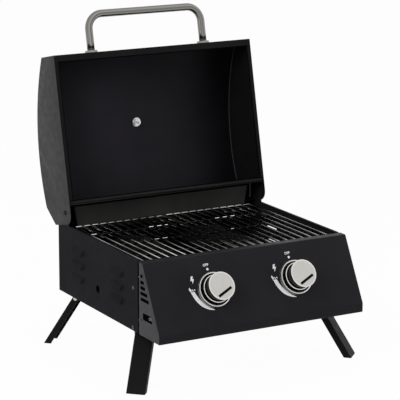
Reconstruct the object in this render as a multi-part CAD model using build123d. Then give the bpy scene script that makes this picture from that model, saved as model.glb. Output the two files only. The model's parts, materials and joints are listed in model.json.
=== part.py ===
from build123d import *
import math
import os

# Portable two-burner gas grill, standing on its four folding legs with the lid open.
# Millimetres. X to the right, Y to the back, Z up. The numbers below are measured from the
# middle of the four feet; every piece is moved to the part's own origin when it is written.

ORIGIN_BACK = 8.33      # the origin: bottom centre of the whole part with its lid open
SHEET = 1.2             # steel sheet of the body and the lid
GAP = 0.3               # air left between pieces that move past each other

# firebox
SIDE_OUT = 277.5        # outer face of a side panel from the middle
SIDE_IN = SIDE_OUT - SHEET
INNER = 276.0           # half width of the sheets between the side panels
FRONT = -210.0
BACK = 220.0
BASE = 135.0
TOP = 311.0
FLOOR_Z = 136.4
FLANGE = 5.0            # folded edge along the top of a side panel
LOUVRE_Y = (-98.0, 110.0)
LOUVRE_Z = (260.0, 227.0, 193.5)
LOUVRE = (60.0, 15.5, 6.5)      # length, height, how far it stands out
GUARD_TOP = 349.5       # top of the back panel, just under the open lid
VENT = (66.0, 5.5)      # length and height of an air slot in the back panel
VENT_X = (-204.0, 0.0, 204.0)
VENT_Z = (230.0, 264.5)
SHIELD_Y = 187.2        # back face of the heat shield
SHIELD_TOP = 352.5

# control panel
PANEL_HALF = 280.0
PANEL_FOOT_Y = -314.6
PANEL_FOOT_Z = 158.0
PANEL_HEAD_Y = -232.6
PANEL_BEND = 3.0
PANEL_END_Y = FRONT - 1.5
GUSSET_END_Y = FRONT - 6.0      # the gussets stop short of the side panels
PANEL_CORNER = 1.8      # rounding of the panel's two end edges

# knobs and gas, along the slanted face and square to it
KNOB_X = 112.0
KNOB_UP = 87.0          # knob centre from the foot of the slanted face
PLUG_R = 6.0
STEM_R = 3.0
VALVE_DEEP = -32.7      # burner outlet of the valve, below the face
RAIL_Z = 184.5          # gas rail across the inside of the control panel
RAIL_R = 6.0
RAIL_END = -262.0
FLARE_R = 5.55625       # 7/16 in flare thread of the gas inlet
BURNER_R = 12.5
SPARK_Z = 232.0
SPARK_OFF = 24.0        # igniter beside its burner

# lid, described shut: s runs forward of the pivot, h up from the rim
PIVOT_Y = 177.0
PIVOT_Z = 343.0
OPEN_TILT = 102.4       # degrees from shut to fully open
RIM_Z = 311.5
LID_IN = 278.3          # half width between the end caps
LID_FRONT = 388.0
LID_REAR = 17.8
ARC_R = 490.0
ARC_S = 125.0
ARC_H = -339.5
EAR_R = 17.4            # the ears' edge: the lid's back wall comes to rest against it
EAR_BACK_Y = 213.0
PIN_R = 3.98
HANDLE_X = 160.0
HANDLE_H = 34.0
HANDLE_REACH = 96.0
HANDLE_R = 9.5
DIAL_S = 205.0

# grates
BAR_R = 2.5
BAR_PITCH = 22.7
BAR_FIRST = 3.5
BARS = 12
BAR_Z = 303.0
ROD_Z = 298.1
END_ROD_Y = (-203.5, 182.6)
END_ROD_Z = 302.8
END_ROD_R = 2.9
CROSS_ROD_Y = (-128.0, -15.0, 98.0)
LEDGE_Z = 299.5
LEDGE_HALF = 262.0

# legs
LEG_X = 244.5
LEG_Y = 178.0
LEG_PIN_Z = 124.0
LEG_W = 46.0
LEG_D = 16.0
LEG_T = 1.5
LEG_LONG = 175.0
LEG_SPLAY = 31.9        # degrees off vertical
LEG_SWING = 43.8        # degrees from straight back to the leg's own direction
HINGE_R = 2.98

# drip tray
TRAY_HALF = 95.0
TRAY_Y0 = -105.0
TRAY_Y1 = 210.0
TRAY_BASE = 120.0
TRAY_RIM = 133.2

os.makedirs("parts", exist_ok=True)


def save(name, shape):
    """Move a finished piece to the part's origin and write it."""
    moved = Pos(0, -ORIGIN_BACK, 0) * shape
    solids = moved.solids()
    export_step(solids[0] if len(solids) == 1 else Compound(children=solids), f"parts/{name}.step")


def pair(name, right):
    """Write a right-hand piece and its mirror image."""
    save(name + "_right", right)
    save(name + "_left", mirror(right, about=Plane.YZ))


def slab(x0, x1, y0, y1, z0, z1):
    """A box between two x, two y and two z values, either of each pair first."""
    size = (abs(x1 - x0), abs(y1 - y0), abs(z1 - z0))
    return Pos((x0 + x1) / 2, (y0 + y1) / 2, (z0 + z1) / 2) * Box(*size)


def prism(plane, outline, depth):
    """A flat outline drawn on a plane and run along the plane's normal."""
    return extrude(plane * outline, amount=depth, dir=plane.z_dir)


def side_prism(points, x0, x1):
    """A flat outline seen from the side (back, up), run from x0 to x1."""
    return prism(Plane.YZ.offset(x0), Polygon(*points, align=None), x1 - x0)


def rod(start, end, radius):
    """A round bar between two points."""
    line = Vector(*end) - Vector(*start)
    return prism(Plane(origin=start, z_dir=line), Circle(radius), line.length)


def turned(plane, points):
    """A turned piece: (radius, height) outline spun about the plane's own normal."""
    outline = Plane.XZ * Polygon(*points, align=None)
    return plane.location * revolve(outline, axis=Axis.Z)


# ---------------------------------------------------------------- side panels
def hood(length, tall, out):
    """A pressed louvre: leans outward to its open lower edge, ends sloped in."""
    half = tall / 2
    wedge = [(0, half), (out * 0.35, half - 2.2), (out, -half + 2.6), (out, -half), (0, -half)]
    body = prism(Plane.XZ.offset(-length / 2), Polygon(*wedge, align=None), length)
    plan = [(0, -length / 2), (out, -length / 2 + 5), (out, length / 2 - 5), (0, length / 2)]
    body &= prism(Plane.XY.offset(-tall), Polygon(*plan, align=None), 2 * tall)
    return body


def hood_space(length, tall, out):
    """The hollow behind a louvre, open at its lower edge and through the panel."""
    inner = Pos(0, 0, -SHEET - 0.2) * hood(length - 2.6, tall, out - SHEET)
    window = slab(-SHEET - 1, 0.01, -length / 2 + 1.3, length / 2 - 1.3, -tall / 2, tall / 2 - SHEET)
    return inner + window


def ear():
    """The panel's raised back corner: round about the pivot, its top sloped to seat the open lid."""
    tilt = math.radians(OPEN_TILT)
    touch_y = PIVOT_Y - EAR_R * math.cos(tilt)
    touch_z = PIVOT_Z + EAR_R * math.sin(tilt)
    end_z = touch_z + (EAR_BACK_Y - touch_y) / math.tan(tilt)
    points = [
        (PIVOT_Y - EAR_R, TOP - 1),
        (PIVOT_Y - EAR_R, PIVOT_Z),
        (PIVOT_Y, PIVOT_Z),
        (touch_y, touch_z),
        (EAR_BACK_Y, end_z),
        (EAR_BACK_Y, TOP - 1),
    ]
    knuckle = rod((SIDE_IN, PIVOT_Y, PIVOT_Z), (SIDE_OUT, PIVOT_Y, PIVOT_Z), EAR_R)
    return side_prism(points, SIDE_IN, SIDE_OUT) + knuckle


def side_panel():
    panel = slab(SIDE_IN, SIDE_OUT, FRONT, BACK, BASE, TOP) + ear()
    panel += slab(SIDE_IN - FLANGE, SIDE_IN, FRONT + 3, 155, TOP - SHEET, TOP)
    panel += slab(SIDE_IN - 8, SIDE_IN, FRONT + 2, BACK - 2, BASE, BASE + SHEET)
    places = [Pos(SIDE_OUT, y, z) for y in LOUVRE_Y for z in LOUVRE_Z]
    for place in places:
        panel += place * hood(*LOUVRE)
    for place in places:
        panel -= place * hood_space(*LOUVRE)
    panel -= rod((SIDE_IN - 1, 4, 190), (SIDE_OUT + 1, 4, 190), 9.5)
    panel -= rod((SIDE_IN - 1, PIVOT_Y, PIVOT_Z), (SIDE_OUT + 1, PIVOT_Y, PIVOT_Z), PIN_R)
    return panel


def lid_pivot_pin():
    """Riveted through the ear; the lid's end cap turns on it under a domed head."""
    pin = rod((274.2, PIVOT_Y, PIVOT_Z), (281.6, PIVOT_Y, PIVOT_Z), PIN_R)
    pin += rod((279.8, PIVOT_Y, PIVOT_Z), (281.8, PIVOT_Y, PIVOT_Z), 5.6)
    pin += rod((274.2, PIVOT_Y, PIVOT_Z), (SIDE_IN, PIVOT_Y, PIVOT_Z), 6.0)
    return chamfer(pin.faces().sort_by(Axis.X)[-1].edges(), 1.1)


pair("side_panel", side_panel())
pivot_pin = lid_pivot_pin()
save("lid_pivot_pins", Compound(children=[pivot_pin, mirror(pivot_pin, about=Plane.YZ)]))

# ---------------------------------------------------------------- where the valves and burners lie
SLOPE = Vector(0, PANEL_HEAD_Y - PANEL_FOOT_Y, TOP - PANEL_FOOT_Z).normalized()


def knob_plane(sx, height=0.0):
    """The panel's face at a knob (x to the right, y up the slope), raised by a height."""
    centre = (sx * KNOB_X, PANEL_FOOT_Y + KNOB_UP * SLOPE.Y, PANEL_FOOT_Z + KNOB_UP * SLOPE.Z)
    return Plane(origin=centre, x_dir=(1, 0, 0), z_dir=(0, -SLOPE.Z, SLOPE.Y)).offset(height)


OUTLET = knob_plane(1, VALVE_DEEP).origin
BURNER_Z = OUTLET.Z
RAIL_DOWN = (RAIL_Z - OUTLET.Z) / SLOPE.Z
RAIL_Y = OUTLET.Y + RAIL_DOWN * SLOPE.Y

# ---------------------------------------------------------------- back, floor, front
back = slab(-INNER, INNER, BACK - SHEET, BACK, BASE + 3, GUARD_TOP)
back += slab(-INNER, INNER, SHIELD_Y + 1.8, BACK - SHEET, TOP - SHEET, TOP)
for z in VENT_Z:
    for x in VENT_X:
        back -= prism(Plane.XZ.offset(-BACK - 1), Pos(x, z) * SlotOverall(*VENT), SHEET + 2)
for sx in (-1, 1):
    back -= rod((sx * KNOB_X, BACK - 5, BURNER_Z), (sx * KNOB_X, BACK + 5, BURNER_Z), 3.2)
save("back_panel", back)

floor_y0, floor_y1 = FRONT + SHEET + 0.2, BACK - SHEET - 0.2
floor = slab(-INNER, INNER, floor_y0, floor_y1, FLOOR_Z, FLOOR_Z + SHEET)
for sx in (-1, 1):
    floor += slab(sx * INNER, sx * (INNER - SHEET), floor_y0, floor_y1, FLOOR_Z, FLOOR_Z + 14)
# raised lip round the opening that lets the fat down to the tray
floor += slab(-70, 70, -40, 100, FLOOR_Z, FLOOR_Z + 6)
floor -= slab(-70 + SHEET, 70 - SHEET, -40 + SHEET, 100 - SHEET, FLOOR_Z - 1, FLOOR_Z + 9)
save("floor_pan", floor)

front = slab(-INNER, INNER, FRONT, FRONT + SHEET, BASE + 0.5, TOP - 0.4)
for sx in (-1, 1):
    front -= rod((sx * KNOB_X, FRONT - 3, BURNER_Z), (sx * KNOB_X, FRONT + 3, BURNER_Z), BURNER_R + 0.2)
    spark_x = sx * (KNOB_X - SPARK_OFF)
    front -= rod((spark_x, FRONT - 3, SPARK_Z), (spark_x, FRONT + 3, SPARK_Z), 4.0)
save("firebox_front", front)


# ---------------------------------------------------------------- ledges and heat shield
def ledge(y_wall, y_lip, inward):
    """A shelf for the grates' ends: a flange up a wall, a shelf and a lip turned down."""
    shelf = slab(-LEDGE_HALF, LEDGE_HALF, y_wall, y_lip, LEDGE_Z - SHEET, LEDGE_Z)
    shelf += slab(-LEDGE_HALF, LEDGE_HALF, y_wall, y_wall + inward * SHEET, LEDGE_Z - 20, LEDGE_Z)
    return shelf + slab(-LEDGE_HALF, LEDGE_HALF, y_lip, y_lip - inward * SHEET, LEDGE_Z - 7, LEDGE_Z)


save("front_ledge", ledge(FRONT + SHEET, -186.0, 1))
save("rear_ledge", ledge(BACK - SHEET - 0.2, 170.0, -1))
outline = Polygon((-240, LEDGE_Z), (240, LEDGE_Z), (249.1, SHIELD_TOP), (-249.1, SHIELD_TOP), align=None)
shield = prism(Plane.XZ.offset(-SHIELD_Y), outline, SHEET)
shield += slab(-238, 238, SHIELD_Y - 0.5, SHIELD_Y + 13, LEDGE_Z, LEDGE_Z + SHEET)
save("heat_shield", shield)

# ---------------------------------------------------------------- control panel
PANEL_LINE = [
    (PANEL_FOOT_Y + 20, BASE),
    (PANEL_FOOT_Y, BASE),
    (PANEL_FOOT_Y, PANEL_FOOT_Z),
    (PANEL_HEAD_Y, TOP),
    (PANEL_END_Y, TOP),
]
# slots in each gusset: height, back end, front end
SLOTS = (
    (279.0, -222.0, -234.0),
    (264.5, -222.0, -240.0),
    (251.5, -222.0, -246.0),
    (238.0, -222.5, -256.0),
    (224.0, -223.0, -264.0),
)
SLOT_TALL = 6.0
MOUTH = (-257.0, RAIL_Z, 46.0, 17.0)    # cut-out at the gas inlet: centre back, up, length, height


def folded_box():
    """One folded sheet: foot, slanted face and top flange, with its two ends folded back as gussets."""
    front_line = FilletPolyline(*PANEL_LINE, radius=PANEL_BEND)
    back_line = Polyline(PANEL_LINE[-1], (PANEL_END_Y, BASE), PANEL_LINE[0])
    side = make_face(front_line.edges() + back_line.edges())
    box = prism(Plane.YZ.offset(-PANEL_HALF), side, 2 * PANEL_HALF)
    ends = box.faces().filter_by(Axis.X).edges()
    box = fillet([edge for edge in ends if edge.center().Y < PANEL_END_Y - 1], PANEL_CORNER)
    inner = PANEL_HALF - SHEET
    box -= prism(Plane.YZ.offset(-inner), offset(side, amount=-SHEET), 2 * inner)
    box -= slab(-inner, inner, PANEL_FOOT_Y + 20, PANEL_END_Y + 1, BASE - 1, BASE + 2 * SHEET)
    box -= slab(-inner, inner, PANEL_END_Y - 2 * SHEET, PANEL_END_Y + 1, BASE - 1, TOP - SHEET)
    box -= slab(-PANEL_HALF - 1, PANEL_HALF + 1, GUSSET_END_Y, PANEL_END_Y + 1, BASE - 1, TOP - SHEET)
    return box


panel = folded_box()
for x in (-PANEL_HALF, PANEL_HALF - SHEET):
    for z, y_back, y_front in SLOTS:
        slot = Pos((y_back + y_front) / 2, z) * SlotOverall(y_back - y_front, SLOT_TALL)
        panel -= prism(Plane.YZ.offset(x - 1), slot, SHEET + 2)
mouth = Pos(MOUTH[0], MOUTH[1]) * RectangleRounded(MOUTH[2], MOUTH[3], 4)
panel -= prism(Plane.YZ.offset(-PANEL_HALF - 1), mouth, SHEET + 2)
for sx in (-1, 1):
    panel -= prism(knob_plane(sx, -3), Circle(8.0), 6)
save("control_panel", panel)

# ---------------------------------------------------------------- knobs and valves
# pressed ring round a knob: sloping wall, rolled lip, groove, taller inner collar
BEZEL = [
    (10, 0), (45, 0), (44.4, 1.6), (42.2, 9.8), (41.4, 11.1), (40.0, 11.6), (38.6, 11.1), (37.9, 9.8),
    (37.6, 2.4), (33.4, 2.4), (33.3, 14.8), (32.8, 15.7), (31.9, 16.0), (31.0, 15.7), (30.5, 14.8),
    (30.3, 1.2), (10, 1.2),
]
# hollow moulded knob with a hub for the stem
KNOB_BODY = [(0, 6), (6.5, 6), (6.5, 37), (27.2, 37), (27.2, 4.6), (28.8, 4.6), (31.6, 40), (0, 40)]
# plated cap over the knob's end, rolled at the rim and slightly dished
KNOB_CAP = [
    (0, 40.02), (32.4, 40.02), (33.6, 40.4), (34.2, 41.2), (34.2, 42.0), (33.7, 42.9),
    (32.6, 43.3), (31.4, 43.0), (29.8, 42.2), (0, 42.2),
]
POINTER = Rot(0, 0, 28.5) * Pos(-3.0, -17.0) * Rectangle(42.0, 5.8)


def stem_section(radius, flat):
    """Round with one flat, so that the stem turns the plug."""
    return Circle(radius) - Pos(0, radius + flat) * Rectangle(4 * radius, 2 * radius)


def valve_body(sx):
    """Cast tap: a barrel for the plug, a flange under the panel, a neck to the rail and a nozzle."""
    centre = knob_plane(sx, VALVE_DEEP).origin
    tap = prism(knob_plane(sx, -50), Circle(2 * PLUG_R), 50 - SHEET - 3)
    tap += prism(knob_plane(sx, -SHEET - 3.2), RectangleRounded(44, 22, 5), 3.2)
    tap += prism(knob_plane(sx, VALVE_DEEP - 7), Pos(0, RAIL_DOWN / 2) * Rectangle(14, -RAIL_DOWN), 14)
    tap += prism(knob_plane(sx, VALVE_DEEP - 10), Pos(0, RAIL_DOWN) * RectangleRounded(22, 20, 3), 20)
    tap += rod((centre.X, centre.Y, centre.Z), (centre.X, FRONT - 9, centre.Z), 5.0)
    tap -= rod((centre.X - 30, RAIL_Y, RAIL_Z), (centre.X + 30, RAIL_Y, RAIL_Z), RAIL_R)
    tap -= prism(knob_plane(sx, -48), Circle(PLUG_R + 0.05), 52)
    tap -= rod((centre.X, centre.Y + 5, centre.Z), (centre.X, FRONT - 8, centre.Z), 1.0)
    return tap


for side, sx in (("left", -1), ("right", 1)):
    face = knob_plane(sx)
    save(f"knob_bezel_{side}", turned(face, BEZEL))
    bore = prism(knob_plane(sx, 5), stem_section(STEM_R, 1.6), 25)
    save(f"knob_{side}", turned(face, KNOB_BODY) - bore)
    window = prism(knob_plane(sx, 39), POINTER, 5)
    save(f"knob_cap_{side}", turned(face, KNOB_CAP) - window)
    save(f"valve_stem_{side}", prism(knob_plane(sx, -16), stem_section(STEM_R - 0.02, 1.58), 46))
    plug = prism(knob_plane(sx, -47), Circle(PLUG_R), 41)
    plug -= prism(knob_plane(sx, -20), stem_section(STEM_R + 0.04, 1.64), 20)
    save(f"valve_plug_{side}", plug)
    save(f"valve_body_{side}", valve_body(sx))

rail = rod((RAIL_END, RAIL_Y, RAIL_Z), (150, RAIL_Y, RAIL_Z), RAIL_R - 0.01)
rail -= rod((RAIL_END - 1, RAIL_Y, RAIL_Z), (146, RAIL_Y, RAIL_Z), 4.6)
save("manifold_pipe", rail)
# turned fitting: spigot in the rail, collar, thread, 45 degree flare nose
INLET = [
    (1.8, -14), (4.58, -14), (4.58, 0), (7.4, 0), (7.4, 3), (FLARE_R, 4),
    (FLARE_R, 13), (3.2, 15.4), (3.2, 16.4), (1.8, 16.4),
]
inlet_plane = Plane(origin=(RAIL_END, RAIL_Y, RAIL_Z), x_dir=(0, 1, 0), z_dir=(-1, 0, 0))
spanner_flats = RegularPolygon(9.4, 6) - Circle(RAIL_R)
save("gas_inlet", turned(inlet_plane, INLET) + prism(inlet_plane.offset(-6), spanner_flats, 6))


# ---------------------------------------------------------------- burners
def burner(x):
    """A closed steel tube with flame slots, air openings at its front and a locating stub."""
    tube = rod((x, FRONT - 12, BURNER_Z), (x, 190, BURNER_Z), BURNER_R)
    tube += rod((x, FRONT - 14, BURNER_Z), (x, FRONT - 10, BURNER_Z), BURNER_R + 2)
    tube -= rod((x, FRONT - 15, BURNER_Z), (x, 188.8, BURNER_Z), BURNER_R - 1)
    tube += rod((x, 190, BURNER_Z), (x, BACK + 3, BURNER_Z), 3.0)
    for i in range(14):
        tube -= Pos(x, -160 + i * 25.0, BURNER_Z + 6) * Box(30, 14, 1.4)
    for i in range(2):
        tube -= Pos(x, -196 + i * 14.0, BURNER_Z) * Box(8, 8, 30)
    return tube


def flame_tamer(x, half=78.0, eaves=243.0, ridge=272.0):
    """A folded tent of sheet over a burner, slotted along both slopes, on a stepped foot."""
    right = [(half - SHEET, eaves), (half, eaves), (half, eaves + 5), (0, ridge)]
    inside = [(0, ridge - 1.3), (half - SHEET, eaves + 4.4)]
    roof = Polygon(*right, *inside, align=None)
    roof = Pos(x, 0) * (roof + mirror(roof, about=Plane.YZ))
    tent = prism(Plane.XZ.offset(-168), roof, 360)
    for i in range(7):
        for k in (-1, 1):
            tent -= Pos(x + k * 40, -160 + i * 49.0, 260) * Box(44, 6, 40)
    tent += slab(x - 20, x + 20, -204, -192, eaves, eaves + SHEET)
    tent += slab(x - 20, x + 20, -192 - SHEET, -192, eaves, eaves + 23)
    return tent


def igniter(x, sx):
    """Ceramic sleeve through the firebox front, with its bent electrode."""
    spark = rod((x, FRONT - 8, SPARK_Z), (x, FRONT - 0.2, SPARK_Z), 6.5)
    spark += rod((x, FRONT - 1, SPARK_Z), (x, FRONT + 34, SPARK_Z), 3.6)
    spark += rod((x, FRONT + 33, SPARK_Z), (x, FRONT + 46, SPARK_Z), 1.2)
    spark += rod((x, FRONT + 45, SPARK_Z), (x + sx * 9, FRONT + 46, SPARK_Z - 3), 1.2)
    return spark


for side, sx in (("left", -1), ("right", 1)):
    save(f"burner_{side}", burner(sx * KNOB_X))
    save(f"flame_tamer_{side}", flame_tamer(sx * KNOB_X))
    save(f"igniter_{side}", igniter(sx * (KNOB_X - SPARK_OFF), sx))


# ---------------------------------------------------------------- cooking grates
def grate():
    """Bars welded between two end rods at their own level, over three cross rods."""
    x0, x1 = BAR_FIRST - 2.0, BAR_FIRST + (BARS - 1) * BAR_PITCH + 2.0
    y0, y1 = END_ROD_Y
    bars = []
    for i in range(BARS):
        x = BAR_FIRST + i * BAR_PITCH
        bars.append(rod((x, y0, BAR_Z), (x, y1, BAR_Z), BAR_R))
    cross = [rod((x0, y, ROD_Z), (x1, y, ROD_Z), BAR_R) for y in CROSS_ROD_Y]
    ends = [rod((x0, y, END_ROD_Z), (x1, y, END_ROD_Z), END_ROD_R) for y in END_ROD_Y]
    return ends[0] + ends[1:] + bars + cross


pair("cooking_grate", grate())


# ---------------------------------------------------------------- lid, drawn shut and swung open
def lid_point(s, h):
    """Lid coordinates (forward of the pivot, up from the rim) to side-view coordinates."""
    return (PIVOT_Y - s, RIM_Z + h)


def arc_height(s, less=0.0):
    return ARC_H + math.sqrt((ARC_R - less) ** 2 - (s - ARC_S) ** 2)


def lid_arc(s0, s1, less=0.0):
    mid = (s0 + s1) / 2
    points = [lid_point(s, arc_height(s, less)) for s in (s0, mid, s1)]
    return ThreePointArc(*points)


def open_lid(shape):
    return Pos(0, PIVOT_Y, PIVOT_Z) * Rot(-OPEN_TILT, 0, 0) * Pos(0, -PIVOT_Y, -PIVOT_Z) * shape


def lid_face(less, drop):
    """Side outline of the domed lid, shrunk by a wall and closed along the rim."""
    s0, s1 = LID_FRONT - less, LID_REAR + less
    lines = [
        Line(lid_point(s1, drop), lid_point(s0, drop)),
        Line(lid_point(s0, drop), lid_point(s0, arc_height(s0, less))),
        lid_arc(s0, s1, less),
        Line(lid_point(s1, arc_height(s1, less)), lid_point(s1, drop)),
    ]
    return make_face(lines)


# the thermometer's own plane on the dome, pointing out of the lid
dial_at = (0, *lid_point(DIAL_S, arc_height(DIAL_S)))
dial_out = (0, -(DIAL_S - ARC_S) / ARC_R, (arc_height(DIAL_S) - ARC_H) / ARC_R)
dial = Plane(origin=dial_at, x_dir=(1, 0, 0), z_dir=dial_out)

shell = prism(Plane.YZ.offset(-LID_IN), lid_face(0.0, 0.0) - lid_face(SHEET, SHEET), 2 * LID_IN)
# the rim stays as a narrow lip turned inward at the front and the back
shell -= slab(-LID_IN - 1, LID_IN + 1, PIVOT_Y - LID_FRONT + 16, PIVOT_Y - 30, RIM_Z - 1, RIM_Z + 2)
for sx in (-1, 1):
    bolt_from = (sx * HANDLE_X, PIVOT_Y - LID_FRONT - 7, RIM_Z + HANDLE_H)
    bolt_to = (sx * HANDLE_X, PIVOT_Y - LID_FRONT + 8, RIM_Z + HANDLE_H)
    shell -= rod(bolt_from, bolt_to, 4.0)
shell -= prism(dial.offset(-6), Circle(4.0), 12)
save("lid_shell", open_lid(shell))


def lid_cap():
    """End wall of the lid: the dome's outline, carried back round the pivot to a rounded heel."""
    heel, low, high = 30.0, 26.0, 94.5
    turn = low * math.sqrt(0.5)
    corner = lid_point(low - heel, 0)
    lines = [
        Line(corner, lid_point(LID_FRONT, 0)),
        Line(lid_point(LID_FRONT, 0), lid_point(LID_FRONT, arc_height(LID_FRONT))),
        lid_arc(LID_FRONT, 14.0),
        Line(lid_point(14.0, arc_height(14.0)), lid_point(-heel, high)),
        Line(lid_point(-heel, high), lid_point(-heel, low)),
        ThreePointArc(lid_point(-heel, low), lid_point(low - heel - turn, low - turn), corner),
    ]
    cap = prism(Plane.YZ.offset(LID_IN), make_face(lines), SHEET)
    cap = fillet(cap.faces().sort_by(Axis.X)[-1].edges(), 0.7)
    lip_y0, lip_y1 = PIVOT_Y - LID_FRONT + 16.3, PIVOT_Y - 31
    cap += slab(LID_IN - 8.5, LID_IN, lip_y0, lip_y1, RIM_Z, RIM_Z + SHEET)
    cap -= rod((LID_IN - 1, PIVOT_Y, PIVOT_Z), (LID_IN + 3, PIVOT_Y, PIVOT_Z), PIN_R + 0.07)
    return open_lid(cap)


pair("lid_cap", lid_cap())

# bent tube handle, standing out of the front wall on two turned collars
wall_y = PIVOT_Y - LID_FRONT
grip_y = wall_y - HANDLE_REACH
grip_z = RIM_Z + HANDLE_H
corners = [(-HANDLE_X, wall_y), (-HANDLE_X, grip_y), (HANDLE_X, grip_y), (HANDLE_X, wall_y)]
path = FilletPolyline(*[(x, y, grip_z) for x, y in corners], radius=38)
start = Plane(origin=(-HANDLE_X, wall_y, grip_z), x_dir=(1, 0, 0), z_dir=(0, -1, 0))
save("lid_handle", open_lid(sweep(start * (Circle(HANDLE_R) - Circle(HANDLE_R - 1.5)), path=path)))
bore = HANDLE_R + 0.02
COLLAR = [(bore, 0.02), (16, 0.02), (16, 4.4), (14.6, 6), (bore, 6)]
collar = turned(Plane(origin=(HANDLE_X, wall_y, grip_z), x_dir=(1, 0, 0), z_dir=(0, -1, 0)), COLLAR)
save("handle_collars", open_lid(Compound(children=[collar, mirror(collar, about=Plane.YZ)])))

# thermometer: case, dial, needle and lens outside the lid, nut and probe inside
NECK_R = 3.0
seat = dial.offset(GAP)
CASE = [
    (3.2, 0), (24, 0), (26.5, 2), (27.5, 8), (27.5, 10.4), (26.6, 11.4),
    (25.2, 11.4), (24.6, 10.6), (24.6, 2), (3.2, 2),
]
save("thermometer_case", open_lid(turned(seat, CASE)))
DIAL = [(3.04, 2.02), (24.5, 2.02), (24.5, 3.2), (3.04, 3.2)]
save("thermometer_dial", open_lid(turned(seat, DIAL)))
LENS = [(0, 8.6), (24.58, 8.6), (24.58, 9.8), (20, 10.3), (0, 10.6)]
save("thermometer_lens", open_lid(turned(seat, LENS)))
needle = turned(seat, [(0, 3.6), (3.4, 3.6), (3.4, 6.4), (2.4, 7.2), (0, 7.2)])
needle += prism(seat.offset(4.2), Rot(0, 0, 225) * Pos(8.0, 0) * Rectangle(24, 1.6), 0.8)
needle -= prism(seat.offset(3), Circle(0.8), 2.8)
save("thermometer_needle", open_lid(needle))
probe = prism(dial.offset(-21), Circle(NECK_R), 21 + GAP + 2.1)
probe += prism(seat.offset(2.1), Circle(0.75), 3.2)
save("thermometer_probe", open_lid(probe))
nut = prism(dial.offset(-SHEET - 2), Circle(11.5), 1.5)
nut += prism(dial.offset(-SHEET - 8), RegularPolygon(9.5, 6), 6.1)
nut -= prism(dial.offset(-13), Circle(NECK_R + 0.02), 14)
save("thermometer_nut", open_lid(nut))


# ---------------------------------------------------------------- legs
def leg_set(sx, sy):
    """One folding leg, the bracket it turns on, and the pin through both."""
    swing, lean = math.radians(LEG_SWING), math.radians(LEG_SPLAY)
    out = Vector(sx * math.sin(swing), sy * math.cos(swing), 0)
    down = out * math.sin(lean) - Vector(0, 0, 1) * math.cos(lean)
    across = Vector(0, 0, 1).cross(out)
    pin_at = Vector(sx * LEG_X, sy * LEG_Y, LEG_PIN_Z)
    # leg's own frame: x across, y towards its outer face, z up along the leg
    frame = Plane(origin=pin_at, x_dir=across, z_dir=down * -1)
    if frame.y_dir.dot(out) < 0:
        frame = Plane(origin=pin_at, x_dir=across * -1, z_dir=down * -1)
    half, deep = LEG_W / 2, LEG_D / 2
    open_side = Rectangle(LEG_W + 2, LEG_D)
    outside = Pos(0, -deep) * RectangleRounded(LEG_W, LEG_D * 2, 2.5) & open_side
    inside = Pos(0, -deep - LEG_T) * RectangleRounded(LEG_W - 2 * LEG_T, LEG_D * 2, 1.2)
    channel = outside - (inside & Pos(0, -LEG_T) * open_side)
    leg = prism(frame.offset(-LEG_LONG), channel, LEG_LONG + 6)
    leg &= Pos(0, 0, 200) * Box(900, 900, 400)
    beside = Plane(origin=pin_at - frame.x_dir * (half + GAP), x_dir=frame.y_dir, z_dir=frame.x_dir)
    leg -= prism(beside.offset(-5), Circle(HINGE_R + 0.07), LEG_W + 10)
    # bracket: two cheeks between the leg's flanges and a plate under the floor
    inner = LEG_W - 2 * (LEG_T + GAP)
    cheek_plane = Plane(origin=pin_at - frame.x_dir * (inner / 2), x_dir=out, z_dir=frame.x_dir)
    rise = (FLOOR_Z - LEG_PIN_Z) * (1 if cheek_plane.y_dir.Z > 0 else -1)
    foot = Pos(-7, rise * 0.96) * Rectangle(12, abs(rise) * 0.08)
    cheek = make_hull((Circle(6.0) + foot).edges())
    bracket = prism(cheek_plane, cheek, LEG_T) + prism(cheek_plane.offset(inner - LEG_T), cheek, LEG_T)
    plate_plane = Plane(origin=(pin_at.X, pin_at.Y, FLOOR_Z - LEG_T), x_dir=out, z_dir=(0, 0, 1))
    bracket += prism(plate_plane, Pos(-5, 0) * Rectangle(18, inner), LEG_T)
    bracket -= prism(beside, Circle(HINGE_R + 0.02), LEG_W)
    pin = prism(beside, Circle(HINGE_R), LEG_W + 2 * GAP)
    for height in (-2.2, LEG_W + 2 * GAP):
        pin += prism(beside.offset(height), Circle(5.0), 2.2)
    return leg, bracket, pin


pins = []
for end, sy in (("front", -1), ("rear", 1)):
    for side, sx in (("left", -1), ("right", 1)):
        leg, bracket, pin = leg_set(sx, sy)
        save(f"leg_{end}_{side}", leg)
        save(f"leg_bracket_{end}_{side}", bracket)
        pins.append(pin)
save("leg_pins", Compound(children=pins))

# ---------------------------------------------------------------- drip tray and its rails
tray = slab(-TRAY_HALF, TRAY_HALF, TRAY_Y0, TRAY_Y1, TRAY_BASE, TRAY_RIM)
tray -= slab(-TRAY_HALF + SHEET, TRAY_HALF - SHEET, TRAY_Y0 + SHEET, TRAY_Y1 - SHEET, TRAY_BASE + SHEET, 134)
for sx in (-1, 1):
    tray += slab(sx * TRAY_HALF, sx * (TRAY_HALF + 6.5), TRAY_Y0, TRAY_Y1, TRAY_RIM - SHEET, TRAY_RIM)
tray += slab(-60, 60, TRAY_Y1 - 0.1, TRAY_Y1 + 14, TRAY_RIM - SHEET, TRAY_RIM)
tray += slab(-60, 60, TRAY_Y1 + 14 - SHEET, TRAY_Y1 + 14, TRAY_RIM - 9, TRAY_RIM)
save("drip_tray", tray)

RAIL_SECTION = [
    (97.0, FLOOR_Z), (97.0, FLOOR_Z - SHEET), (105.0, FLOOR_Z - SHEET), (105.0, 131.6), (98.0, 131.6),
    (98.0, 130.4), (106.2, 130.4), (106.2, FLOOR_Z),
]
tray_rail = prism(Plane.XZ.offset(-205), Polygon(*RAIL_SECTION, align=None), 315)
save("tray_rails", Compound(children=[tray_rail, mirror(tray_rail, about=Plane.YZ)]))
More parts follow.
